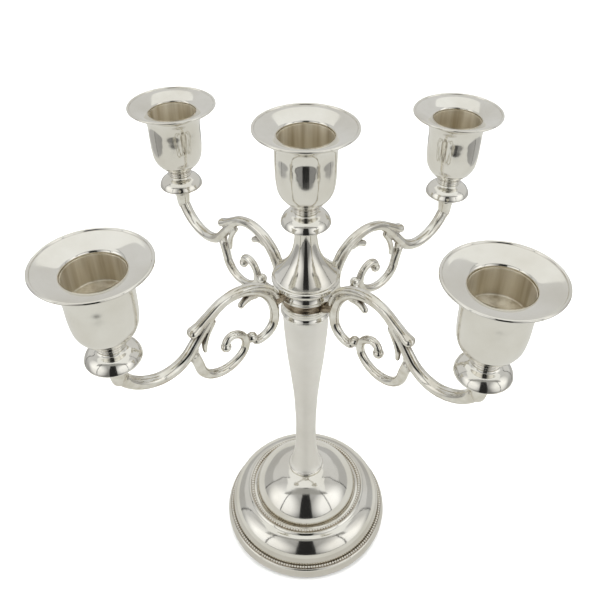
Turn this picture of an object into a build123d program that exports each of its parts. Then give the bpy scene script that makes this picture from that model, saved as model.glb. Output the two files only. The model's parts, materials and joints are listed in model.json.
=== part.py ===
"""Five-light table candelabra in silver-plated brass, as loose pieces.

Row frame: origin on the table at the column's axis, +Z up, millimetres. The two pairs of arms cross
near the X and Y axes. The whole crown turns on the tie rod, the upper pair turns on the lower one, and
each candle cup unscrews from its arm.
"""
import os
from math import cos, radians, sin

from build123d import *

# ---- driving dimensions ----
total_height = 262.2        # table to the centre rim
side_rim_height = 240.2     # table to the four outer rims
arm_reach = 96.0            # column axis to cup axis
pair_set = 2.5              # degrees that each pair of arms stands off the square cross
candle_radius = 11.5        # bore for a 22 mm dinner candle
rim_radius = 22.0
base_radius = 48.0

# ---- candle cup, heights measured down from its rim ----
rim_edge = 1.0              # thickness of the rim's rolled lip
bore_top = 3.6              # the flare's foot, where the bore starts
bore_floor = 17.0
socket_wall = 0.8
neck_radius = 5.7
neck_bottom = 39.6
collar_radius = 11.2
collar_edge = 45.4
collar_bottom = 47.5        # the collar's seat on the arm or the cone

# ---- threads and running fits ----
thread_radius = 3.0
running_gap = 0.05
stud_depth = 8.0            # how far a stud reaches below the collar

# ---- base ----
felt = 1.2
plate_thickness = 1.2
base_edge = base_radius - 1.2
rim_land = 8.8              # ledge behind the base's plain rim, for the lower beads
lower_bead_radius = 45.4
shoulder_radius = 38.2
shoulder_height = 22.6
upper_bead_radius = 32.0
dome_land = 24.5            # ledge around the dome, for the upper beads
bead_width = 1.6
dome_radius = 29.8
dome_top_radius = 16.5
dome_top = 42.0
foot_radius = 10.0
foot_bottom = 44.6
weight_radius = 33.0
weight_bottom = 14.0
weight_top = 22.4

# ---- column and hub, bottom to top ----
column_bottom = 46.3
waist_radius = 5.6
waist_height = 78.2
column_top = 164.7
column_top_radius = 11.3
hub_plate_top = 169.2
arm_joint = 176.2           # the face where the upper ring turns on the lower one
hub_cap_bottom = 183.6
cone_bottom = 187.2
lower_ring_radius = 12.2
upper_ring_radius = 12.9
hub_cap_radius = 16.1
cone_foot_radius = 15.4
cone_top_radius = 5.0
cone_top = total_height - collar_bottom

# ---- arms ----
tube_radius = 2.7
scroll_radius = 2.2
bead_radius = 2.6
arm_boss_radius = 4.3
arm_top = side_rim_height - collar_bottom
boss_height = 9.0
arm_crown = 195.2           # the top of the arm's first scroll

os.makedirs("parts", exist_ok=True)


def save(builder, label):
    """Label a finished piece and write it as its own STEP file."""
    builder.part.label = label
    export_step(builder.part, f"parts/{label}.step")


def tangent_arcs(points, heading):
    """Draw arcs through the points, each leaving along the direction the last one ended in."""
    for start, end in zip(points, points[1:]):
        arc = TangentArc(start, end, tangent=heading)
        heading = arc % 1


# ---- base ----
with BuildPart() as felt_pad:
    Cylinder(base_edge - 0.8, felt, align=(Align.CENTER, Align.CENTER, Align.MIN))
save(felt_pad, "felt_pad")

inside_radius = base_radius - 4.0
with BuildPart() as base_bottom_plate:
    with Locations((0, 0, felt)):
        Cylinder(inside_radius, plate_thickness, align=(Align.CENTER, Align.CENTER, Align.MIN))
save(base_bottom_plate, "base_bottom_plate")

with BuildPart() as base_shell:
    with BuildSketch(Plane.XZ):
        with BuildLine():
            Line((inside_radius, felt), (base_edge, felt))
            ThreePointArc((base_edge, felt), (base_radius, 4.6), (base_edge - 0.2, rim_land))
            Line((base_edge - 0.2, rim_land), (lower_bead_radius - 1.1, rim_land))
            ThreePointArc((lower_bead_radius - 1.1, rim_land), (43.0, 17.0), (shoulder_radius, shoulder_height))
            ThreePointArc((shoulder_radius, shoulder_height), (36.3, 23.6), (34.2, 24.2))
            Line((34.2, 24.2), (upper_bead_radius + 1.2, dome_land))
            Line((upper_bead_radius + 1.2, dome_land), (dome_radius, dome_land))
            dome = ThreePointArc((dome_radius, dome_land), (25.7, 34.0), (dome_top_radius, dome_top))
            TangentArc(dome @ 1, (foot_radius, foot_bottom), tangent=dome % 1)
            Polyline((foot_radius, foot_bottom), (thread_radius, foot_bottom), (thread_radius, foot_bottom - 2.2),
                     (dome_top_radius - 2.0, dome_top - 1.2))
            ThreePointArc((dome_top_radius - 2.0, dome_top - 1.2), (23.6, 33.2), (28.0, weight_top))
            Polyline((28.0, weight_top), (35.2, weight_top), (37.4, 21.2), (41.0, 16.6), (42.6, 11.4),
                     (42.6, rim_land - 1.4), (inside_radius, rim_land - 1.4), (inside_radius, felt))
        make_face()
    revolve(axis=Axis.Z)
save(base_shell, "base_shell")

bead_rings = {"lower_bead_ring": (lower_bead_radius, rim_land), "upper_bead_ring": (upper_bead_radius, dome_land)}
for ring_name, (ring_radius, land) in bead_rings.items():
    with BuildPart() as bead_ring:
        with BuildSketch(Plane.XZ):
            with BuildLine():
                Line((ring_radius - bead_width / 2, land), (ring_radius + bead_width / 2, land))
                ThreePointArc((ring_radius + bead_width / 2, land), (ring_radius, land + 1.2),
                              (ring_radius - bead_width / 2, land))
            make_face()
        revolve(axis=Axis.Z)
    save(bead_ring, ring_name)

with BuildPart() as base_weight:
    with BuildSketch(Plane.XY.offset(weight_bottom)):
        Circle(weight_radius)
        Circle(thread_radius, mode=Mode.SUBTRACT)
    extrude(amount=weight_top - weight_bottom)
save(base_weight, "base_weight")

washer_thickness = 1.2
with BuildPart() as tie_rod_washer:
    with BuildSketch(Plane.XY.offset(weight_bottom - washer_thickness)):
        Circle(7.0)
        Circle(thread_radius, mode=Mode.SUBTRACT)
    extrude(amount=washer_thickness)
save(tie_rod_washer, "tie_rod_washer")

nut_height = 5.0
with BuildPart() as tie_rod_nut:
    with BuildSketch(Plane.XY.offset(weight_bottom - washer_thickness - nut_height)):
        RegularPolygon(5.0, 6, major_radius=False)
        Circle(thread_radius, mode=Mode.SUBTRACT)
    extrude(amount=nut_height)
save(tie_rod_nut, "tie_rod_nut")

rod_bottom = weight_bottom - washer_thickness - nut_height - 2.0
rod_top = cone_top - stud_depth - 4.0
with BuildPart() as tie_rod:
    with Locations((0, 0, rod_bottom)):
        Cylinder(thread_radius, rod_top - rod_bottom, align=(Align.CENTER, Align.CENTER, Align.MIN))
save(tie_rod, "tie_rod")

# ---- column ----
with BuildPart() as column_foot:
    with BuildSketch(Plane.XZ):
        with BuildLine():
            Line((thread_radius, foot_bottom), (foot_radius - 0.4, foot_bottom))
            ThreePointArc((foot_radius - 0.4, foot_bottom), (foot_radius, foot_bottom + 0.7),
                          (foot_radius - 0.5, column_bottom))
            Line((foot_radius - 0.5, column_bottom), (thread_radius, column_bottom))
            Line((thread_radius, column_bottom), (thread_radius, foot_bottom))
        make_face()
    revolve(axis=Axis.Z)
save(column_foot, "column_foot")

with BuildPart() as column:
    with BuildSketch(Plane.XZ):
        with BuildLine():
            Line((thread_radius, column_bottom), (foot_radius - 0.6, column_bottom))
            Spline((foot_radius - 0.6, column_bottom), (6.9, 56.0), (waist_radius, waist_height),
                   (6.5, 104.2), (8.6, 125.2), (10.4, 145.2), (column_top_radius, column_top),
                   tangents=((-1.1, 1.0), (0.02, 1.0)))
            Line((column_top_radius, column_top), (thread_radius, column_top))
            Line((thread_radius, column_top), (thread_radius, column_bottom))
        make_face()
    revolve(axis=Axis.Z)
save(column, "column")

# ---- hub ----
with BuildPart() as hub_lower_plate:
    with BuildSketch(Plane.XZ):
        with BuildLine():
            Polyline((thread_radius, column_top), (11.2, column_top), (11.9, column_top + 0.5),
                     (11.9, column_top + 1.3), (11.3, column_top + 1.8), (11.5, column_top + 2.8),
                     (12.3, column_top + 3.2), (12.3, hub_plate_top - 0.4), (11.9, hub_plate_top),
                     (thread_radius, hub_plate_top), close=True)
        make_face()
    revolve(axis=Axis.Z)
save(hub_lower_plate, "hub_lower_plate")

ring_bore = thread_radius + running_gap
with BuildPart() as lower_arm_ring:
    with BuildSketch(Plane.XY.offset(hub_plate_top)):
        Circle(lower_ring_radius)
        Circle(ring_bore, mode=Mode.SUBTRACT)
    extrude(amount=arm_joint - hub_plate_top)
save(lower_arm_ring, "lower_arm_ring")

with BuildPart() as upper_arm_ring:
    with BuildSketch(Plane.XZ):
        with BuildLine():
            Polyline((ring_bore, arm_joint), (lower_ring_radius, arm_joint), (13.5, arm_joint + 0.6),
                     (13.5, arm_joint + 1.6), (upper_ring_radius, arm_joint + 2.1),
                     (upper_ring_radius, hub_cap_bottom), (ring_bore, hub_cap_bottom), close=True)
        make_face()
    revolve(axis=Axis.Z)
save(upper_arm_ring, "upper_arm_ring")

with BuildPart() as hub_top_plate:
    with BuildSketch(Plane.XZ):
        with BuildLine():
            Line((thread_radius, hub_cap_bottom), (hub_cap_radius - 1.6, hub_cap_bottom))
            ThreePointArc((hub_cap_radius - 1.6, hub_cap_bottom),
                          (hub_cap_radius, (hub_cap_bottom + cone_bottom) / 2),
                          (hub_cap_radius - 0.9, cone_bottom))
            Line((hub_cap_radius - 0.9, cone_bottom), (thread_radius, cone_bottom))
            Line((thread_radius, cone_bottom), (thread_radius, hub_cap_bottom))
        make_face()
    revolve(axis=Axis.Z)
save(hub_top_plate, "hub_top_plate")

with BuildPart() as trumpet_cone:
    with BuildSketch(Plane.XZ):
        with BuildLine():
            Line((0, cone_bottom), (cone_foot_radius, cone_bottom))
            Spline((cone_foot_radius, cone_bottom + 0.4), (10.2, 193.2), (6.9, 199.2), (5.4, 205.5),
                   (cone_top_radius, cone_top), tangents=((-1.0, 0.65), (0.02, 1.0)))
            Line((cone_foot_radius, cone_bottom), (cone_foot_radius, cone_bottom + 0.4))
            Line((cone_top_radius, cone_top), (0, cone_top))
            Line((0, cone_top), (0, cone_bottom))
        make_face()
    revolve(axis=Axis.Z)
    with Locations((0, 0, cone_bottom)):
        Cylinder(thread_radius, rod_top - cone_bottom, align=(Align.CENTER, Align.CENTER, Align.MIN),
                 mode=Mode.SUBTRACT)
    with Locations((0, 0, cone_top)):
        Cylinder(thread_radius, stud_depth + 0.5, align=(Align.CENTER, Align.CENTER, Align.MAX),
                 mode=Mode.SUBTRACT)
save(trumpet_cone, "trumpet_cone")

# ---- arms ----
# Each arm lies in its own upright plane: the first number is the distance from the column axis.
main_scroll = [(31.5, 163.1), (18.9, 170.3), (23.3, 187.0), (37.5, arm_crown), (52.7, 189.5), (63.6, 176.8),
               (80.0, 170.8), (arm_reach, arm_top - boss_height + 0.3)]
main_heading = (-0.92, -0.39)
low_scroll = [(63.0, 175.6), (59.9, 164.6), (52.8, 156.1), (37.7, 159.6), (41.1, 173.0), (46.0, 168.7)]
low_heading = (-0.36, -0.93)
bead_centre = (31.8, 165.6)
lug_spans = {"lower": (hub_plate_top + 1.0, arm_joint - 0.5), "upper": (arm_joint + 2.3, hub_cap_bottom - 0.3)}
ring_radii = {"lower": lower_ring_radius, "upper": upper_ring_radius}
arm_angles = {1: pair_set, 2: 90 - pair_set, 3: 180 + pair_set, 4: 270 - pair_set}
arm_pairs = {1: "lower", 2: "upper", 3: "lower", 4: "upper"}

for number, angle in arm_angles.items():
    outward = (cos(radians(angle)), sin(radians(angle)), 0)
    sideways = (sin(radians(angle)), -cos(radians(angle)), 0)
    arm_plane = Plane(origin=(0, 0, 0), x_dir=outward, z_dir=sideways)
    lug_low, lug_high = lug_spans[arm_pairs[number]]
    with BuildPart() as arm:
        for route, heading, radius in ((main_scroll, main_heading, tube_radius),
                                       (low_scroll, low_heading, scroll_radius)):
            with BuildLine(arm_plane) as spine:
                tangent_arcs(route, heading)
            with BuildSketch(Plane(origin=spine.line @ 0, z_dir=spine.line % 0)):
                Circle(radius)
            sweep(path=spine.line)
        # bead and curl that finish the two scrolls
        with BuildSketch(arm_plane):
            with Locations(bead_centre, low_scroll[-1]):
                Circle(bead_radius)
        extrude(amount=scroll_radius, both=True)
        # acanthus sheath: its lip stands off the top of the arm, and its tails under the scroll
        with BuildSketch(arm_plane):
            with BuildLine():
                Polyline((50.0, 191.0), (57.5, 189.8), (64.8, 185.4), (59.0, 182.4), (53.0, 186.4), close=True)
            make_face()
        extrude(amount=2.4, both=True)
        # lug brazed to the pair's ring
        with BuildSketch(arm_plane):
            with Locations((14.5, (lug_low + lug_high) / 2)):
                Rectangle(8.0, lug_high - lug_low)
        extrude(amount=2.4, both=True)
        Cylinder(ring_radii[arm_pairs[number]], 2 * total_height, mode=Mode.SUBTRACT)
        # upright boss with the cup's threaded socket
        with Locations((arm_reach * outward[0], arm_reach * outward[1], arm_top)):
            Cylinder(arm_boss_radius, boss_height, align=(Align.CENTER, Align.CENTER, Align.MAX))
            Cylinder(thread_radius, stud_depth + 0.2, align=(Align.CENTER, Align.CENTER, Align.MAX),
                     mode=Mode.SUBTRACT)
    save(arm, f"arm_{number}")

# ---- lights: four on the arms, the fifth on the cone ----
stud_radius = thread_radius - running_gap
seats = {number: (arm_reach * cos(radians(angle)), arm_reach * sin(radians(angle)), side_rim_height)
         for number, angle in arm_angles.items()}
seats[5] = (0, 0, total_height)

for number, seat in seats.items():
    light = Plane(origin=seat, x_dir=(1, 0, 0), z_dir=(0, -1, 0))
    light_axis = Axis(seat, (0, 0, 1))

    with BuildPart() as candle_cup:
        with BuildSketch(light):
            with BuildLine():
                ThreePointArc((rim_radius - 0.4, 0), (rim_radius, -rim_edge / 2), (rim_radius - 0.4, -rim_edge))
                flare = ThreePointArc((rim_radius - 0.4, -rim_edge), (15.5, -4.4), (13.3, -10.0))
                bell = ThreePointArc(flare @ 1, (13.15, -19.0), (12.5, -28.0))
                TangentArc(bell @ 1, (neck_radius - 0.2, -37.0), tangent=bell % 1)
                Polyline((neck_radius - 0.2, -37.0), (neck_radius + 0.1, -37.6), (neck_radius + 0.1, -38.2),
                         (neck_radius - 0.3, -38.6), (neck_radius, -39.0), (neck_radius, -neck_bottom),
                         (thread_radius, -neck_bottom), (thread_radius, -34.5), (5.4, -34.5), (9.0, -31.2),
                         (11.1, -26.5), (candle_radius + socket_wall, -19.0),
                         (candle_radius + socket_wall, -bore_top), (13.2, -2.6), (15.4, -1.7), (18.6, -0.6),
                         (rim_radius - 0.4, 0))
            make_face()
        revolve(axis=light_axis)
    save(candle_cup, f"candle_cup_{number}")

    with BuildPart() as candle_socket:
        with BuildSketch(Plane.XY.offset(seat[2] - bore_floor - socket_wall)):
            with Locations(seat[:2]):
                Circle(candle_radius + socket_wall)
        extrude(amount=bore_floor + socket_wall - bore_top)
        with BuildSketch(Plane.XY.offset(seat[2] - bore_floor)):
            with Locations(seat[:2]):
                Circle(candle_radius)
        extrude(amount=bore_floor - bore_top, mode=Mode.SUBTRACT)
    save(candle_socket, f"candle_socket_{number}")

    with BuildPart() as cup_stud:
        with Locations((seat[0], seat[1], seat[2] - collar_bottom - stud_depth)):
            Cylinder(stud_radius, stud_depth + collar_bottom - 34.5, align=(Align.CENTER, Align.CENTER, Align.MIN))
        with Locations((seat[0], seat[1], seat[2] - 34.5)):
            Cylinder(5.0, 2.5, align=(Align.CENTER, Align.CENTER, Align.MIN))
    save(cup_stud, f"cup_stud_{number}")

    with BuildPart() as drip_collar:
        with BuildSketch(light):
            with BuildLine():
                Line((thread_radius, -neck_bottom), (neck_radius + 0.2, -neck_bottom))
                ThreePointArc((neck_radius + 0.2, -neck_bottom), (9.7, -41.7), (collar_radius, -collar_edge))
                Line((collar_radius, -collar_edge), (collar_radius - 0.2, -collar_edge - 0.5))
                Line((collar_radius - 0.2, -collar_edge - 0.5), (5.0, -collar_bottom))
                Line((5.0, -collar_bottom), (thread_radius, -collar_bottom))
                Line((thread_radius, -collar_bottom), (thread_radius, -neck_bottom))
            make_face()
        revolve(axis=light_axis)
    save(drip_collar, f"drip_collar_{number}")
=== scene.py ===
"""Looks of the five-light table candelabra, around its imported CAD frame.

Lengths are in millimetres until a mesh is made, and MM turns them into the scene's metres. Turned
pieces are lathed from an outline of (radius, height), and each arm is swept in its own upright plane.
"""
import json
from math import atan2, cos, degrees, hypot, pi, radians, sin

import bmesh
import bpy
from mathutils import Matrix, Vector


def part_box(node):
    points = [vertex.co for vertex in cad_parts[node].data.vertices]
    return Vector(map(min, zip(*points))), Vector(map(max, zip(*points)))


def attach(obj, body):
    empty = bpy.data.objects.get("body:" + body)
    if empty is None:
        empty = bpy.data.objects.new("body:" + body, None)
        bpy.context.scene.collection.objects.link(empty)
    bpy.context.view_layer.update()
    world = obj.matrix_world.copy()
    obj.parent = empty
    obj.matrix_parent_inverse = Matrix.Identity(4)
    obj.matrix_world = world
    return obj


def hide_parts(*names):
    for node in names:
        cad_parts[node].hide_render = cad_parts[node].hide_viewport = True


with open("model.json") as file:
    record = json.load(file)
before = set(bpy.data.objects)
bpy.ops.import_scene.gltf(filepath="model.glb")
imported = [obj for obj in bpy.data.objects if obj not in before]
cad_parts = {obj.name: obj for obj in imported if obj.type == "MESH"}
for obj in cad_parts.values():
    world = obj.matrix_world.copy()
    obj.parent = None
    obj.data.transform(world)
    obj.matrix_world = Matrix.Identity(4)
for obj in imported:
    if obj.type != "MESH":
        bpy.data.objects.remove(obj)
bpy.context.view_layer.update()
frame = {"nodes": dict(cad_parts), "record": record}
MM = 0.001

# ---- places, read from the frame ----


def node_box(node):
    """Lowest and highest corners of a CAD node at rest, in millimetres."""
    low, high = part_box(node)
    return Vector(low) / MM, Vector(high) / MM


def node_body(node):
    """Name of the CAD body that a node belongs to."""
    return next(body for body, nodes in frame["record"]["behaviour"]["bodies"].items() if node in nodes)


def node_slot(node):
    """Material slot of a CAD node."""
    return next(part["material_slot"] for part in frame["record"]["subparts"] if part["node"] == node)


# ---- meshes ----


def link_object(name, data):
    """Put a mesh, a light or a camera in the scene as an object."""
    obj = bpy.data.objects.new(name, data)
    bpy.context.scene.collection.objects.link(obj)
    return obj


def close_shape(shape, mesh):
    """Move a bmesh into a mesh, its faces turned outward and shaded smooth."""
    bmesh.ops.recalc_face_normals(shape, faces=shape.faces)
    shape.to_mesh(mesh)
    shape.free()
    mesh.shade_smooth()
    return mesh


def new_object(name, verts, faces):
    """A mesh object from points in millimetres."""
    mesh = bpy.data.meshes.new(name)
    mesh.from_pydata([tuple(c * MM for c in v) for v in verts], [], faces)
    mesh.update()
    shape = bmesh.new()
    shape.from_mesh(mesh)
    return link_object(name, close_shape(shape, mesh))


def apply_modifier(obj, kind, **settings):
    """Add a modifier, set it and bake it into the mesh."""
    modifier = obj.modifiers.new(kind, kind)
    for key, value in settings.items():
        setattr(modifier, key, value)
    graph = bpy.context.evaluated_depsgraph_get()
    mesh = bpy.data.meshes.new_from_object(obj.evaluated_get(graph))
    obj.modifiers.clear()
    obj.data = mesh


def curve_through(points, per=8):
    """Catmull-Rom curve through the points, with its ends included."""
    padded = [points[0]] + list(points) + [points[-1]]
    out = []
    for a, b, c, d in zip(padded, padded[1:], padded[2:], padded[3:]):
        for step in range(per):
            t = step / per
            out.append(tuple(0.5 * (2 * q + (r - p) * t + (2 * p - 5 * q + 4 * r - s) * t * t
                                    + (3 * q - p - 3 * r + s) * t ** 3) for p, q, r, s in zip(a, b, c, d)))
    return out + [tuple(points[-1])]


def arc_about(centre, radius, start, end, steps=10):
    """Points of a circular arc, its angles in degrees."""
    angles = [radians(start + (end - start) * i / steps) for i in range(steps + 1)]
    return [(centre[0] + radius * cos(a), centre[1] + radius * sin(a)) for a in angles]


def lathe(name, outline, centre=(0, 0), steps=160, edge=0.12):
    """Revolve a closed outline of (radius, height) about the upright axis at centre."""
    verts, rings = [], []
    around = [2 * pi * i / steps for i in range(steps)]
    for radius, height in outline:
        if radius < 1e-6:
            rings.append([len(verts)] * steps)
            verts.append((centre[0], centre[1], height))
            continue
        rings.append(list(range(len(verts), len(verts) + steps)))
        verts += [(centre[0] + radius * cos(a), centre[1] + radius * sin(a), height) for a in around]
    faces = []
    for lower, upper in zip(rings, rings[1:] + rings[:1]):
        for i in range(steps):
            corners = [lower[i], lower[(i + 1) % steps], upper[(i + 1) % steps], upper[i]]
            corners = [c for k, c in enumerate(corners) if c not in corners[:k]]
            if len(corners) > 2:
                faces.append(corners)
    obj = new_object(name, verts, faces)
    if edge:
        apply_modifier(obj, "BEVEL", width=edge * MM, segments=2, limit_method="ANGLE",
                       angle_limit=radians(32))
    return obj


# ---- materials ----


def shader(name):
    """A material, its Principled shader and its node tree."""
    material = bpy.data.materials.new(name)
    material.use_nodes = True
    tree = material.node_tree
    return material, tree.nodes["Principled BSDF"], tree


def add_node(tree, kind, **settings):
    """Add a shader node, with its attributes and input sockets set by name."""
    node = tree.nodes.new(kind)
    for key, value in settings.items():
        if hasattr(node, key):
            setattr(node, key, value)
        else:
            node.inputs[key.replace("_", " ")].default_value = value
    return node


def noise(tree, scale, detail=3.0, stretch=(1, 1, 1)):
    """Noise in object space, its scale per metre; a small stretch value draws it out along that axis."""
    coords = add_node(tree, "ShaderNodeTexCoord")
    mapping = add_node(tree, "ShaderNodeMapping")
    mapping.inputs["Scale"].default_value = stretch
    texture = add_node(tree, "ShaderNodeTexNoise", Scale=scale, Detail=detail)
    tree.links.new(coords.outputs["Object"], mapping.inputs["Vector"])
    tree.links.new(mapping.outputs["Vector"], texture.inputs["Vector"])
    return texture.outputs["Fac"]


def rgba(value):
    """What a colour socket takes, from a colour or a grey value."""
    return (*value, 1) if isinstance(value, tuple) else (value, value, value, 1)


def ramp(tree, source, stops):
    """Colour ramp from a factor; each stop is a place and a colour or a grey value."""
    node = add_node(tree, "ShaderNodeValToRGB")
    elements = node.color_ramp.elements
    while len(elements) < len(stops):
        elements.new(0.5)
    for element, (place, value) in zip(elements, stops):
        element.position = place
        element.color = rgba(value)
    tree.links.new(source, node.inputs["Fac"])
    return node.outputs["Color"]


def blend(tree, kind, one, other):
    """Two colours, multiplied or added."""
    mix = add_node(tree, "ShaderNodeMix", data_type="RGBA", blend_type=kind)
    mix.inputs[0].default_value = 1.0
    tree.links.new(one, mix.inputs[6])
    tree.links.new(other, mix.inputs[7])
    return mix.outputs[2]


def bump(tree, height, strength, distance, under=None):
    """Normal bumped by a height factor, its distance in millimetres, on top of an earlier bump."""
    node = add_node(tree, "ShaderNodeBump", Strength=strength, Distance=distance * MM)
    tree.links.new(height, node.inputs["Height"])
    if under is not None:
        tree.links.new(under, node.inputs["Normal"])
    return node.outputs["Normal"]


def glow(name, colour):
    """A material that only shines."""
    material, bsdf, _ = shader(name)
    bsdf.inputs["Base Color"].default_value = rgba(0.0)
    bsdf.inputs["Specular IOR Level"].default_value = 0.0
    bsdf.inputs["Emission Color"].default_value = rgba(colour)
    bsdf.inputs["Emission Strength"].default_value = 1.0
    return material


def silver(name, clean, worn, rough, scratch, metallic=1.0, hollow_shade_colour=None, drift=45, stretch=(1, 1, 1),
           reach=(0.35, 0.75)):
    """Silver plate: slow colour drift, uneven polish, a slightly wavy surface and fine scratches; given a
    colour for its hollows, painted shade darkens them.
    """
    material, bsdf, tree = shader(name)
    bsdf.inputs["Metallic"].default_value = metallic
    colour = ramp(tree, noise(tree, drift, 4, stretch), [(0.35, clean), (0.7, worn)])
    if hollow_shade_colour:
        # painted shade: ambient occlusion darkens the base colour in the hollows, towards a brownish colour
        shade = add_node(tree, "ShaderNodeAmbientOcclusion", samples=6, only_local=True, Distance=3.0 * MM)
        painted_hollow_shade = ramp(tree, shade.outputs["AO"], [(reach[0], hollow_shade_colour), (reach[1], 1.0)])
        colour = blend(tree, "MULTIPLY", colour, painted_hollow_shade)
    tree.links.new(colour, bsdf.inputs["Base Color"])
    polish = ramp(tree, noise(tree, 160, 5), [(0.3, rough[0]), (0.75, rough[1])])
    tree.links.new(polish, bsdf.inputs["Roughness"])
    waves = bump(tree, noise(tree, 110, 1), 0.5, 0.06)
    scratches = bump(tree, noise(tree, 900, 4, (1, 1, 0.3)), scratch, 0.02, waves)
    tree.links.new(scratches, bsdf.inputs["Normal"])
    return material


def dull(name, dark, light, scale, rough, metallic=0.0, depth=0.2):
    """A plain rough material: two tones of noise and a matching bump."""
    material, bsdf, tree = shader(name)
    bsdf.inputs["Metallic"].default_value = metallic
    bsdf.inputs["Roughness"].default_value = rough
    grain = noise(tree, scale, 5)
    tree.links.new(ramp(tree, grain, [(0.3, dark), (0.7, light)]), bsdf.inputs["Base Color"])
    tree.links.new(bump(tree, grain, 0.6, depth), bsdf.inputs["Normal"])
    return material


# one for each slot, and arm_silver, which the arms wear in the polished_silver slot
# the colours given for the hollows below are painted shade, darkening each silver's hollows
materials = {
    "polished_silver": silver("polished_silver", (0.86, 0.845, 0.79), (0.77, 0.745, 0.675), (0.06, 0.13),
                              0.08, hollow_shade_colour=(0.45, 0.39, 0.31)),
    "arm_silver": silver("arm_silver", (0.86, 0.845, 0.785), (0.70, 0.665, 0.58), (0.06, 0.14), 0.15,
                         hollow_shade_colour=(0.16, 0.12, 0.08), drift=150, reach=(0.5, 0.95)),
    "satin_silver": silver("satin_silver", (0.82, 0.805, 0.76), (0.75, 0.735, 0.68), (0.36, 0.46), 0.3,
                           metallic=0.85),
    "beaded_silver": silver("beaded_silver", (0.92, 0.90, 0.84), (0.86, 0.83, 0.76), (0.08, 0.14), 0.05),
    "unpolished_silver": silver("unpolished_silver", (0.80, 0.76, 0.66), (0.50, 0.44, 0.33), (0.30, 0.45),
                                0.3, metallic=0.85, drift=260, stretch=(1, 1, 0.06)),
    "tarnished_silver": silver("tarnished_silver", (0.50, 0.43, 0.33), (0.16, 0.12, 0.08), (0.16, 0.35),
                               0.3, hollow_shade_colour=(0.28, 0.21, 0.14), drift=220),
    "dull_brass": dull("dull_brass", (0.42, 0.30, 0.13), (0.60, 0.46, 0.22), 300, 0.42, metallic=1.0,
                       depth=0.03),
    "steel": dull("steel", (0.42, 0.42, 0.43), (0.58, 0.58, 0.60), 400, 0.35, metallic=1.0, depth=0.03),
    "cast_weight": dull("cast_weight", (0.03, 0.03, 0.03), (0.09, 0.09, 0.10), 600, 0.8, metallic=0.4),
    "felt": dull("felt", (0.012, 0.02, 0.015), (0.03, 0.05, 0.035), 2500, 0.95, depth=0.4),
}


def finish_piece(obj, node, slot=None, look=None):
    """Let a visual piece stand for a CAD node: its body, its slot, and the slot's material or a look."""
    slot = slot or node_slot(node)
    obj.data.materials.clear()
    obj.data.materials.append(materials[look or slot])
    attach(obj, node_body(node))
    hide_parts(node)


# ---- camera, light and floor ----

view_angle = -41.68         # where the camera stands about the column, degrees from +X
view_reach = 247.8          # from the column's axis
view_height = 383.8
view_pitch = 37.7           # degrees below level


def turned(angle, reach=1.0):
    """A point at an angle from the viewer's side of the column, positive to the viewer's right."""
    return reach * cos(radians(view_angle + angle)), reach * sin(radians(view_angle + angle))


def place_camera():
    """Camera above and in front of the two near arms, its picture shifted off the lens's centre."""
    camera = bpy.data.cameras.new("camera")
    camera.sensor_width = 36.0
    camera.lens = 40.896
    camera.shift_x = -0.009833
    camera.shift_y = -0.058333
    camera.clip_start = 0.01
    obj = link_object("camera", camera)
    obj.location = (*turned(0, view_reach * MM), view_height * MM)
    obj.rotation_euler = (radians(90 - view_pitch), 0, radians(view_angle + 90))
    bpy.context.scene.camera = obj


def area_light(name, angle, reach, height, size, power):
    """A soft rectangular light facing the column, which the silver doesn't mirror; places in metres."""
    light = bpy.data.lights.new(name, "AREA")
    light.shape = "RECTANGLE"
    light.size, light.size_y = size
    light.energy = power
    obj = link_object(name, light)
    obj.location = (*turned(angle, reach), height)
    obj.rotation_euler = (Vector((0, 0, 0.15)) - obj.location).to_track_quat("-Z", "Y").to_euler()
    obj.visible_glossy = False


def card(name, corners, colour):
    """A flat glow that only the silver sees; corners are (angle, reach, height), in metres."""
    mesh = bpy.data.meshes.new(name)
    places = [(*turned(angle, reach), height) for angle, reach, height in corners]
    mesh.from_pydata(places, [], [tuple(range(len(places)))])
    mesh.materials.append(glow(name, colour))
    obj = link_object(name, mesh)
    obj.visible_camera = obj.visible_diffuse = obj.visible_shadow = False


def level_card(name, outline, height, colour):
    """A card lying level, its outline given as (angle, reach)."""
    card(name, [(*place, height) for place in outline], colour)


def wall_card(name, left, right, low, high, colour):
    """A card standing between two places, each an (angle, reach)."""
    card(name, [(*left, low), (*right, low), (*right, high), (*left, high)], colour)


def upright_card(name, angle, reach, low, high, width, colour):
    """A card standing across the line to the column."""
    half = degrees(atan2(width / 2, reach))
    far = hypot(width / 2, reach)
    wall_card(name, (angle - half, far), (angle + half, far), low, high, colour)


def make_world():
    """The grey room that the silver mirrors: darker behind the viewer, a bright window on each side."""
    world = bpy.data.worlds.new("studio")
    world.use_nodes = True
    tree = world.node_tree
    background = tree.nodes["Background"]
    coords = add_node(tree, "ShaderNodeTexCoord")

    def facing(direction, stops):
        """Grey by how nearly a direction points one way: 0 is opposite it, 0.5 across it and 1 along it."""
        dot = add_node(tree, "ShaderNodeVectorMath", operation="DOT_PRODUCT")
        dot.inputs[1].default_value = direction
        tree.links.new(coords.outputs["Generated"], dot.inputs[0])
        half = add_node(tree, "ShaderNodeMath", operation="MULTIPLY_ADD")
        half.inputs[1].default_value = half.inputs[2].default_value = 0.5
        tree.links.new(dot.outputs["Value"], half.inputs[0])
        return ramp(tree, half.outputs["Value"], stops)

    height = facing((0, 0, 1), [(0.0, 0.5), (0.38, 0.44), (0.5, 0.5), (0.62, 0.66), (1.0, 0.62)])
    front = facing((*turned(0), 0.0), [(0.45, 1.0), (0.7, 0.85), (0.92, 0.6), (1.0, 0.45)])
    room = blend(tree, "MULTIPLY", height, front)
    for side in (-1, 1):
        window = facing((*turned(side * 52, 0.97), 0.24), [(0.88, 0.0), (0.97, 0.62)])
        room = blend(tree, "ADD", room, window)
    tree.links.new(room, background.inputs["Color"])
    background.inputs["Strength"].default_value = 1.0
    bpy.context.scene.world = world


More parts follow.
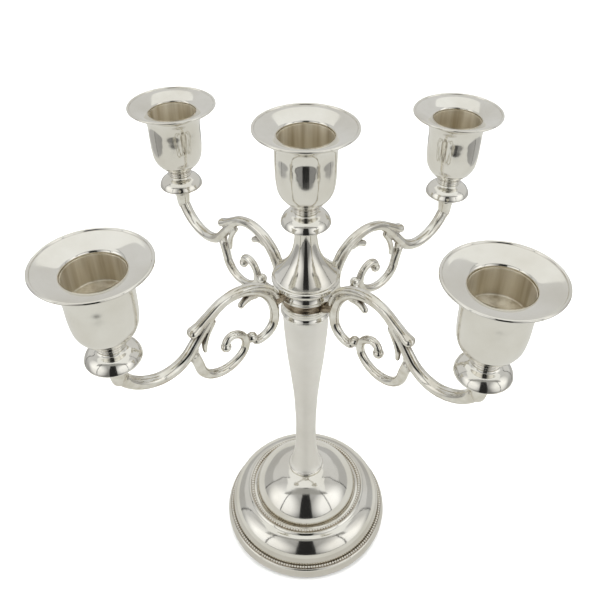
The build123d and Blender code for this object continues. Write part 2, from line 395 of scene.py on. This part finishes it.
def make_floor():
    """A plain pale floor."""
    bpy.ops.mesh.primitive_plane_add(size=6.0, location=(0, 0, 0))
    floor = bpy.context.object
    floor.name = "floor"
    material, bsdf, tree = shader("floor")
    tree.links.new(ramp(tree, noise(tree, 3, 2), [(0.3, 0.90), (0.7, 0.93)]), bsdf.inputs["Base Color"])
    bsdf.inputs["Roughness"].default_value = 0.9
    floor.data.materials.append(material)
    floor.visible_glossy = False


def make_backdrop():
    """A pale wall all round, for the views that look level; it neither lights nor mirrors in anything."""
    bpy.ops.mesh.primitive_cylinder_add(vertices=96, radius=2.9, depth=6.0, end_fill_type="NOTHING",
                                        location=(0, 0, 3.0))
    wall = bpy.context.object
    wall.name = "backdrop"
    wall.data.materials.append(glow("backdrop", 0.93))
    wall.visible_glossy = wall.visible_diffuse = wall.visible_shadow = False


place_camera()
make_world()
make_floor()
make_backdrop()
bpy.context.scene.view_settings.view_transform = "Standard"
bpy.context.scene.view_settings.gamma = 0.92
area_light("left_softbox", -75, 1.2, 1.0, (0.9, 1.2), 13)
area_light("right_softbox", 75, 1.2, 1.0, (0.9, 1.2), 13)
area_light("top_softbox", 170, 0.4, 1.5, (1.2, 1.2), 19)

# a light tent around the object: roof, table, walls with dark seams, and a flag behind the camera
tent_top = 0.72
wall_fold = 0.2             # below this height the walls are darker
front_corner = (98, 0.41)   # (angle, reach) on the right; the left one is its mirror
back_corner = (140, 0.62)
upright_card("dark_flag", 0, 0.6, -0.7, 1.4, 0.26, 0.03)
level_card("tent_roof", [(-62, 0.72), (62, 0.72), back_corner, (-140, 0.62)], tent_top, (0.93, 0.935, 0.925))
level_card("tent_table", [(-50, 0.53), (50, 0.53), back_corner, (-140, 0.62)], 0.0, (0.76, 0.76, 0.735))
level_card("base_shade", [(angle, 0.078) for angle in range(0, 360, 15)], 0.0004, (0.64, 0.63, 0.60))
for low, high, grey in ((0.0, wall_fold, 0.52), (wall_fold, tent_top, 0.70)):
    wall_card("tent_back", back_corner, (220, 0.62), low, high, grey)
    for side in (-1, 1):
        wall_card("tent_side", (side * front_corner[0], front_corner[1]),
                  (side * back_corner[0], back_corner[1]), low, high, grey)
for side in (-1, 1):
    upright_card("seam_near", side * 50, 0.53, 0.0, tent_top, 0.016, 0.07)
    upright_card("seam_far", side * 97, 0.40, 0.0, tent_top, 0.012, 0.08)
upright_card("tent_lintel", 0, 0.36, 0.56, tent_top, 1.3, (0.40, 0.40, 0.39))
upright_card("table_edge", 0, 0.342, 0.0, 0.010, 0.8, 0.08)

# ---- base ----

base_radius = node_box("base_shell")[1].x
felt_top = node_box("felt_pad")[1].z
foot_bottom = node_box("column_foot")[0].z
rim_land = node_box("lower_bead_ring")[0].z
dome_land = node_box("upper_bead_ring")[0].z
rod_hole = 3.0              # radius of the way for the tie rod, up through the stack


def make_base():
    """Spun base shell: plain rim, rounded shoulder and dome, each with a ledge for its beads."""
    outline = [(base_radius - 4.0, felt_top), (base_radius - 1.3, felt_top)]
    outline += curve_through([(base_radius - 1.1, felt_top + 0.1), (base_radius - 0.25, 2.6),
                              (base_radius, 4.6), (base_radius - 0.35, 7.0), (base_radius - 1.0, 8.5),
                              (base_radius - 1.5, 8.9), (base_radius - 1.8, 8.7)], 6)
    outline += [(46.1, rim_land), (44.4, rim_land)]
    outline += arc_about((31.3, 11.2), 13.2, -6, 57, 24)
    outline += curve_through([(37.6, 22.9), (36.3, 23.6), (34.9, 24.05)], 6)
    outline += arc_about((33.7, dome_land - 0.1), 0.55, 20, 160, 8)
    outline += [(33.1, dome_land), (29.9, dome_land)]
    outline += curve_through([(29.7, dome_land + 0.3), (28.6, 29.2), (25.8, 34.0), (21.5, 38.5), (16.4, 42.0),
                              (13.2, 43.6), (10.2, foot_bottom)], 10)
    outline += [(rod_hole, foot_bottom), (rod_hole, foot_bottom - 2.2)]
    outline += curve_through([(14.5, 40.8), (19.8, 37.2), (23.7, 33.0), (26.8, 27.0), (28.0, 22.4)], 5)
    outline += [(35.2, 22.4), (37.4, 21.2), (41.0, 16.6), (42.6, 11.4), (42.6, rim_land - 1.4),
                (base_radius - 4.0, rim_land - 1.4)]
    finish_piece(lathe("base_shell_visual", outline, steps=240), "base_shell")


def make_bead_ring(node, ring_radius, land, bead):
    """A fine ring of round beads, side by side on a low dark fillet that paints shade between them."""
    count = int(2 * pi * ring_radius / (bead * 1.04))
    shape = bmesh.new()
    for i in range(count):
        angle = 2 * pi * i / count
        centre = Vector((ring_radius * cos(angle), ring_radius * sin(angle), land + bead * 0.42)) * MM
        bmesh.ops.create_icosphere(shape, subdivisions=2, radius=bead / 2 * MM,
                                   matrix=Matrix.Translation(centre))
    finish_piece(link_object(node + "_beads", close_shape(shape, bpy.data.meshes.new(node))), node)
    # painted shade: a dark strip under the beads darkens the gaps between them
    shade_strip = [(ring_radius - bead * 0.53, land - 0.02)]
    shade_strip += arc_about((ring_radius, land - 0.02), bead * 0.5, 150, 30, 8)
    shade_strip += [(ring_radius + bead * 0.53, land - 0.02)]
    shade_strip = [(radius, min(height, land + 0.3)) for radius, height in shade_strip]
    finish_piece(lathe(node + "_strip", shade_strip, steps=160, edge=0), node, "tarnished_silver")


def make_column():
    """Satin column, its polished foot lip and its hidden ends."""
    low, high = node_box("column")
    foot = node_box("column_foot")
    outline = [(rod_hole, low.z), (9.3, low.z)]
    outline += curve_through([(9.3, low.z + 0.1), (8.2, 49.0), (6.95, 55.5), (6.0, 64.5), (5.6, 78.2),
                              (5.95, 92.2), (6.6, 105.2), (7.7, 117.7), (9.1, 130.7), (10.2, 143.2),
                              (10.9, 154.2), (11.3, high.z)], 8)
    outline += [(rod_hole, high.z)]
    finish_piece(lathe("column_visual", outline, steps=128), "column")
    radius = foot[1].x
    outline = [(rod_hole, foot[0].z), (radius - 0.4, foot[0].z)]
    outline += arc_about((radius - 0.75, foot[0].z + 0.85), 0.75, -60, 70, 8)
    outline += [(radius - 0.7, foot[1].z), (rod_hole, foot[1].z)]
    finish_piece(lathe("column_foot_visual", outline, steps=128), "column_foot")


make_base()
make_bead_ring("lower_bead_ring", ring_radius=45.3, land=rim_land, bead=1.5)
make_bead_ring("upper_bead_ring", ring_radius=32.0, land=dome_land, bead=1.5)
make_column()

# ---- hub and cone ----

ring_hole = 3.05            # the arm rings turn on the tie rod
stud_hole = 3.0             # radius of the way for a cup's stud


def make_hub():
    """The stack of turned rings that holds the two pairs of arms, and the trumpet cone on top."""
    low, high = node_box("hub_lower_plate")
    outline = [(rod_hole, low.z), (11.3, low.z), (11.4, low.z + 0.4)]
    outline += arc_about((11.55, low.z + 1.25), 0.72, -70, 70, 8)
    outline += curve_through([(11.75, low.z + 2.1), (11.3, low.z + 3.1), (11.35, high.z)], 5)
    outline += [(rod_hole, high.z)]
    finish_piece(lathe("hub_lower_plate_visual", outline, steps=128), "hub_lower_plate")

    low, high = node_box("lower_arm_ring")
    outline = [(ring_hole, low.z), (11.35, low.z)]
    outline += curve_through([(11.35, low.z + 0.1), (11.5, low.z + 1.0), (11.85, low.z + 2.0)], 5)
    outline += arc_about((11.75, low.z + 2.65), 0.45, -60, 75, 8)
    outline += [(11.3, low.z + 3.2), (ring_hole, low.z + 3.2)]
    finish_piece(lathe("lower_arm_ring_visual", outline, steps=128), "lower_arm_ring", "polished_silver")
    outline = [(ring_hole, low.z + 3.2), (11.2, low.z + 3.2)]
    outline += curve_through([(11.2, low.z + 3.3), (11.0, low.z + 4.6), (11.3, low.z + 5.2),
                              (11.0, low.z + 5.8), (11.3, high.z)], 5)
    outline += [(ring_hole, high.z)]
    finish_piece(lathe("lower_arm_ring_band", outline, steps=128), "lower_arm_ring")

    low, high = node_box("upper_arm_ring")
    outline = [(ring_hole, low.z), (11.8, low.z), (12.2, low.z + 0.9)]
    outline += arc_about((12.7, low.z + 1.75), 0.78, -75, 75, 8)
    outline += curve_through([(12.75, low.z + 2.6), (12.15, low.z + 4.2), (12.1, low.z + 5.6),
                              (12.8, high.z)], 5)
    outline += [(ring_hole, high.z)]
    finish_piece(lathe("upper_arm_ring_visual", outline, steps=128), "upper_arm_ring", "polished_silver")

    low, high = node_box("hub_top_plate")
    outline = [(rod_hole, low.z), (13.9, low.z)]
    outline += curve_through([(14.3, low.z + 0.05), (15.6, low.z + 0.6), (16.1, low.z + 1.7),
                              (15.9, low.z + 2.7), (15.3, low.z + 3.3), (14.8, high.z - 0.05)], 6)
    outline += [(14.5, high.z), (rod_hole, high.z)]
    finish_piece(lathe("hub_top_plate_visual", outline, steps=128), "hub_top_plate")

    low, high = node_box("trumpet_cone")
    outline = [(0, low.z), (14.9, low.z)] + arc_about((14.9, low.z + 0.35), 0.35, -60, 60, 5)
    outline += curve_through([(14.6, low.z + 0.75), (13.0, 189.7), (10.2, 193.2), (8.3, 196.2), (6.8, 199.7),
                              (5.8, 203.6), (5.2, 208.4), (5.0, high.z)], 8)
    outline += [(stud_hole, high.z), (stud_hole, high.z - 8.5), (0, high.z - 8.5)]
    finish_piece(lathe("trumpet_cone_visual", outline, steps=128), "trumpet_cone")


make_hub()

# ---- lights ----


def make_light(number):
    """One light: flared cup, matte socket and drip collar, heights measured from the rim."""
    low, high = node_box(f"candle_cup_{number}")
    centre = ((low.x + high.x) / 2, (low.y + high.y) / 2)
    rim = high.z

    def raised(points):
        return [(radius, rim + height) for radius, height in points]

    edge = high.x - centre[0] - 0.62
    outside = arc_about((edge, -0.62), 0.62, 90, -80, 8)
    outside += curve_through([(edge - 0.5, -1.25), (18.0, -2.4), (15.6, -4.4), (13.9, -7.2), (13.25, -10.5),
                              (13.15, -15.0), (13.1, -19.0), (12.95, -23.4), (12.5, -27.6), (11.6, -30.4),
                              (10.2, -32.6), (8.1, -34.8), (6.2, -36.2), (5.5, -37.0)], 8)
    outside += arc_about((5.45, -37.8), 0.5, 75, -75, 6) + arc_about((5.45, -38.95), 0.45, 75, -75, 6)
    inside = [(5.6, -39.55), (stud_hole, -39.55), (stud_hole, -34.5), (5.4, -34.5)]
    inside += curve_through([(5.4, -34.5), (9.0, -31.2), (11.1, -26.5), (12.3, -19.0)], 4)
    inside += [(12.3, -5.0), (11.65, -5.0)]
    inside += curve_through([(11.65, -4.6), (11.75, -4.0), (12.3, -3.3), (13.6, -2.6), (16.0, -1.7),
                             (18.6, -0.9), (20.2, -0.62), (edge - 0.66, -0.6)], 6)
    inside += arc_about((edge, -0.62), 0.62, 168, 100, 5)
    finish_piece(lathe(f"candle_cup_{number}_visual", raised(outside + inside), centre),
                 f"candle_cup_{number}")

    socket = [(0, -17.8), (12.3, -17.8), (12.3, -4.9), (11.5, -4.9), (11.5, -16.6), (11.1, -17.0), (0, -17.0)]
    finish_piece(lathe(f"candle_socket_{number}_visual", raised(socket), centre), f"candle_socket_{number}")

    collar = [(stud_hole, -39.6), (5.8, -39.6)]
    collar += curve_through([(5.9, -39.65), (6.6, -40.3), (8.4, -41.3), (10.0, -42.8), (10.9, -44.4),
                             (11.2, -45.5), (11.0, -46.0), (10.4, -46.3)], 6)
    collar += curve_through([(9.6, -46.6), (7.0, -47.1), (5.0, -47.5)], 3) + [(stud_hole, -47.5)]
    finish_piece(lathe(f"drip_collar_{number}_visual", raised(collar), centre), f"drip_collar_{number}")


for number in range(1, 6):
    make_light(number)

# ---- arms ----

arm_angles = {1: 2.5, 2: 87.5, 3: 182.5, 4: 267.5}
light_reach = 96.0          # from the column's axis to a light's
main_scroll = [(31.5, 163.1), (18.9, 170.3), (23.3, 187.0), (37.5, 195.2), (52.7, 189.5), (63.6, 176.8),
               (80.0, 170.8), (light_reach, 184.0)]
main_heading = (-0.92, -0.39)
low_scroll = [(63.0, 175.6), (59.9, 164.6), (52.8, 156.1), (37.7, 159.6), (41.1, 173.0), (46.0, 168.7)]
low_heading = (-0.36, -0.93)


def arc_route(points, heading, step=0.8):
    """Sample the tangent arcs through the points, as the CAD arms' routes run."""
    route = [points[0]]
    direction = atan2(heading[1], heading[0])
    for start, end in zip(points, points[1:]):
        dx, dy = end[0] - start[0], end[1] - start[1]
        turn = 2 * (((atan2(dy, dx) - direction + pi) % (2 * pi)) - pi)
        radius = hypot(dx, dy) / (2 * sin(turn / 2))
        count = max(2, int(abs(radius * turn) / step))
        for i in range(1, count + 1):
            part = turn * i / count
            chord = 2 * radius * sin(part / 2)
            route.append((start[0] + chord * cos(direction + part / 2),
                          start[1] + chord * sin(direction + part / 2)))
        direction += turn
    return route


def tube(shape, route, radius_at, flat=1.0, sides=20):
    """Sweep a round or flattened section along a route in the arm's plane, with rounded ends."""
    rings = []
    lengths = [0.0]
    for a, b in zip(route, route[1:]):
        lengths.append(lengths[-1] + hypot(b[0] - a[0], b[1] - a[1]))
    for i, point in enumerate(route):
        before, after = route[max(0, i - 1)], route[min(len(route) - 1, i + 1)]
        run = hypot(after[0] - before[0], after[1] - before[1])
        along = ((after[0] - before[0]) / run, (after[1] - before[1]) / run)
        radius = radius_at(lengths[i] / lengths[-1])
        end = min(lengths[i], lengths[-1] - lengths[i])
        if end < radius:
            radius *= max(0.03, (1 - (1 - end / radius) ** 2)) ** 0.5
        ring = []
        for k in range(sides):
            angle = 2 * pi * k / sides
            across = radius * cos(angle)
            ring.append(shape.verts.new((point[0] - along[1] * across, radius * flat * sin(angle),
                                         point[1] + along[0] * across)))
        rings.append(ring)
    for one, two in zip(rings, rings[1:]):
        for k in range(sides):
            shape.faces.new((one[k], one[(k + 1) % sides], two[(k + 1) % sides], two[k]))
    shape.faces.new(rings[0])
    shape.faces.new(list(reversed(rings[-1])))


def ball(shape, centre, radius):
    """A ball in the arm's plane."""
    bmesh.ops.create_uvsphere(shape, u_segments=24, v_segments=14, radius=radius,
                              matrix=Matrix.Translation((centre[0], 0, centre[1])))


def taper(*stops):
    """Radius along a tube, straight between stops of (place, radius)."""
    def radius_at(place):
        for (a, ra), (b, rb) in zip(stops, stops[1:]):
            if place <= b:
                return ra + (rb - ra) * (place - a) / (b - a)
        return stops[-1][1]
    return radius_at


def arm_mesh(name, shape):
    """The mesh, in metres, of a shape that was drawn in millimetres."""
    mesh = close_shape(shape, bpy.data.meshes.new(name))
    mesh.transform(Matrix.Scale(MM, 4))
    return mesh


def make_arm_mesh():
    """One arm in the XZ plane, welded from its scrolls, sheath, tails and beads."""
    shape = bmesh.new()
    tube(shape, arc_route(main_scroll, main_heading),
         taper((0, 2.0), (0.08, 2.35), (0.45, 2.3), (0.6, 2.4), (0.75, 2.8), (1, 3.1)))
    tube(shape, arc_route(low_scroll, low_heading), taper((0, 2.5), (0.2, 2.4), (0.7, 2.0), (1, 1.9)))
    ball(shape, (46.0, 168.5), 2.55)
    ball(shape, (31.9, 166.0), 2.6)
    # the sheath: a leaf along the outside of the scroll, whose lip stands off the arm
    sheath = curve_through([(17.9, 184.5), (21.4, 189.6), (28.4, 194.3), (37.5, 196.6), (46.6, 195.0),
                            (54.2, 190.6), (59.2, 187.4), (63.6, 185.3)], 8)
    tube(shape, sheath, taper((0, 1.2), (0.25, 1.6), (0.7, 1.7), (0.88, 1.85), (0.95, 2.3), (1, 2.2)),
         flat=1.3)
    # tails of the under layers
    tube(shape, curve_through([(27.0, 189.4), (31.5, 190.1), (35.0, 189.0), (37.8, 186.9)], 6),
         taper((0, 1.9), (1, 1.6)))
    tube(shape, curve_through([(50.5, 188.0), (54.6, 181.6), (56.4, 176.4), (56.4, 171.6)], 6),
         taper((0, 1.5), (0.7, 1.4), (1, 0.9)))
    tube(shape, curve_through([(60.8, 181.0), (61.2, 174.0), (61.8, 169.4)], 6), taper((0, 1.6), (1, 1.2)))
    # web under the sheath's root, and the boss under the collar
    tube(shape, curve_through([(18.6, 187.0), (17.9, 184.5), (17.0, 181.5), (16.9, 177.5)], 6),
         taper((0, 1.6), (0.3, 1.4), (0.6, 1.8), (1, 1.8)))
    tube(shape, [(light_reach, 178.6 + i) for i in range(15)], taper((0, 2.6), (0.35, 3.4), (1, 4.2)))
    arm = link_object("arm", arm_mesh("arm", shape))
    apply_modifier(arm, "REMESH", mode="VOXEL", voxel_size=0.3 * MM)
    apply_modifier(arm, "SMOOTH", factor=0.5, iterations=4)
    mesh = arm.data
    bpy.data.objects.remove(arm)
    return mesh


def make_lug_mesh(root, end, radius):
    """The lug, in the XZ plane, that joins an arm's first scroll to its ring."""
    shape = bmesh.new()
    tube(shape, curve_through([root, end], 18), taper((0, radius), (0.6, radius), (1, radius * 0.8)),
         sides=32)
    return arm_mesh("lug", shape)


def make_arms():
    """The four arms and the tarnished lugs on their rings, each turned to its arm's angle."""
    scrolls = make_arm_mesh()
    lugs = {"lower_arms": make_lug_mesh((10.6, 172.6), (20.0, 179.2), 2.5),
            "upper_arms": make_lug_mesh((11.0, 180.9), (20.0, 180.9), 2.4)}
    for number, angle in arm_angles.items():
        node = f"arm_{number}"
        for name, mesh, slot, look in ((f"{node}_visual", scrolls, None, "arm_silver"),
                                       (f"{node}_lug", lugs[node_body(node)], "tarnished_silver", None)):
            mesh = mesh.copy()
            mesh.transform(Matrix.Rotation(radians(angle), 4, "Z"))
            mesh.shade_smooth()
            finish_piece(link_object(name, mesh), node, slot, look)


make_arms()

# ---- hidden pieces keep their CAD meshes ----
for node in ("felt_pad", "base_bottom_plate", "base_weight", "tie_rod", "tie_rod_nut", "tie_rod_washer",
             *(f"cup_stud_{number}" for number in range(1, 6))):
    obj = frame["nodes"][node]
    obj.data.materials.clear()
    obj.data.materials.append(materials[node_slot(node)])
